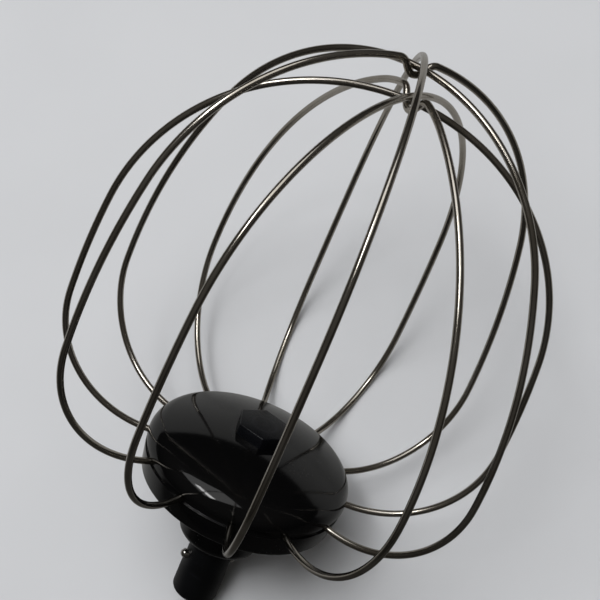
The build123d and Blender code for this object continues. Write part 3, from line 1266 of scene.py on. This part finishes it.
@dataclass(frozen=True)
class Studio:
    """Pale floor, soft light and the camera at the photograph's viewing angle."""

    floor_size: float = 3.2
    camera_place: Triple = (-0.08139, -0.06636, 0.39923)
    camera_aim: Triple = (0.01534, 0.01240, 0.04000)
    camera_roll: float = 9.1263
    camera_clip: tuple[float, float] = (0.01, 20.0)
    focal_length: float = 73.05
    sensor: float = 36.0
    overhead: Triple = (0.075, 0.072, 0.067)
    overhead_height: float = 0.75
    horizon: Triple = (0.018, 0.0175, 0.0165)
    backdrop: Triple = (0.60, 0.61, 0.63)
    lamps: tuple[SoftLamp, ...] = (
        SoftLamp("soft fill", (0.25, 0.90, 2.50), (2.6, 2.6), power=46.0, heading=75.0, mirrored=False),
        SoftLamp("soft box", (0.70, 0.60, 2.54), (2.2, 2.2), power=22.0, heading=40.0),
        SoftLamp("strip light", (-0.02, 0.62, 2.30), (0.3, 1.0), power=13.0, heading=50.0),
    )

    def lay_floor(self, material: Material) -> Object:
        """Lay the floor.

        Args:
            material: The floor's finish.

        Returns:
            The floor's object.
        """
        half = self.floor_size / 2
        mesh = bpy.data.meshes.new("floor")
        mesh.from_pydata([(-half, -half, 0.0), (half, -half, 0.0), (half, half, 0.0), (-half, half, 0.0)], [],
                         [(0, 1, 2, 3)])
        mesh.materials.append(material)
        floor = bpy.data.objects.new("floor", mesh)
        bpy.context.scene.collection.objects.link(floor)
        return floor

    def light(self) -> None:
        """Hang the lamps and set the room's own dim light, darkest at the horizon.

        The camera sees a pale backdrop in its place.
        """
        for lamp in self.lamps:
            lamp.hang()
        world = bpy.data.worlds.new("studio")
        bpy.context.scene.world = world
        world.use_nodes = True
        graph = Graph(world.node_tree)
        direction = graph.add("ShaderNodeTexCoord").outputs["Generated"]
        height = graph.add("ShaderNodeSeparateXYZ", {0: direction}).outputs["Z"]
        room = graph.blend(graph.spread(height, 0.0, self.overhead_height, 0.0, 1.0), self.horizon, self.overhead)
        seen = graph.add("ShaderNodeLightPath").outputs["Is Camera Ray"]
        sky = graph.add("ShaderNodeBackground", {"Color": graph.blend(seen, room, self.backdrop), "Strength": 1.0})
        graph.add("ShaderNodeOutputWorld", {"Surface": sky.outputs[0]})

    def set_camera(self) -> Object:
        """Set the camera up as the scene's own.

        Returns:
            The camera's object.
        """
        data = bpy.data.cameras.new("camera")
        data.lens = self.focal_length
        data.sensor_width = self.sensor
        data.clip_start, data.clip_end = self.camera_clip
        camera = bpy.data.objects.new("camera", data)
        look = Vector(self.camera_aim) - Vector(self.camera_place)
        turn = look.to_track_quat("-Z", "Y").to_matrix() @ Matrix.Rotation(radians(-self.camera_roll), 3, "Z")
        camera.matrix_world = Matrix.Translation(self.camera_place) @ turn.to_4x4()
        bpy.context.scene.collection.objects.link(camera)
        bpy.context.scene.camera = camera
        return camera


def main() -> None:
    """Build the whisk and its studio."""
    logging.basicConfig(level=logging.INFO, format="%(name)s: %(message)s")
    effects = Effects.make()
    bench = Bench(Placement(), Trees())
    plastic = GlossPlastic("Gloss black plastic", effects).make()
    steel = PolishedWire("Polished wire", effects).make()
    bright = BrightSteel("Bright steel", effects).make()
    black = SatinCoating("Satin black coating", effects, colour=(0.002, 0.0021, 0.0025),
                         rubbed=(0.008, 0.0083, 0.010), roughness=0.40, axis=bench.place, ring_radius=0.0052,
                         density=1.28).make()
    charcoal = SatinCoating("Satin charcoal coating", effects, colour=(0.002, 0.0022, 0.003),
                            rubbed=(0.008, 0.0085, 0.0105), roughness=0.32, axis=bench.place, ring_radius=0.0038,
                            density=1.26).make()
    hub = Hub()
    bench.finish("hub_dome", bench.turn(hub.dome_outline(), plastic), plastic, Slot.HUB)
    base = bench.turn(hub.base_outline(), plastic)
    bench.finish("hub_base", bench.grow(base, bench.trees.seats, plastic, hub.seat_sizes), plastic, Slot.HUB)
    drive = Drive(hub)
    shaft = bench.turn(drive.shaft_outline(), black, closed=False)
    bench.finish("drive_shaft", bench.grow(shaft, bench.trees.hole, black, drive.hole_sizes), black, Slot.SHAFT)
    pin = bench.turn(drive.pin_outline(), bright, closed=False)
    pin.transform(drive.pin_place)
    bench.finish("cross_pin", pin, bright, Slot.PIN)
    bench.finish("clamp_bolt", drive.bolt(), charcoal, Slot.BOLT)
    balloon = WireBalloon(hub)
    for index, loop in enumerate(balloon.loops):
        line = bench.polyline(balloon.line(index), closed=False)
        wire = bench.grow(line, bench.trees.wire, steel, balloon.wire_sizes)
        bench.finish(loop.name, wire, steel, Slot.WIRE)
    studio = Studio()
    studio.lay_floor(PaleFloor("Pale floor").make())
    studio.light()
    studio.set_camera()
    bpy.context.scene.view_settings.view_transform = "Standard"


if __name__ == "__main__":
    main()
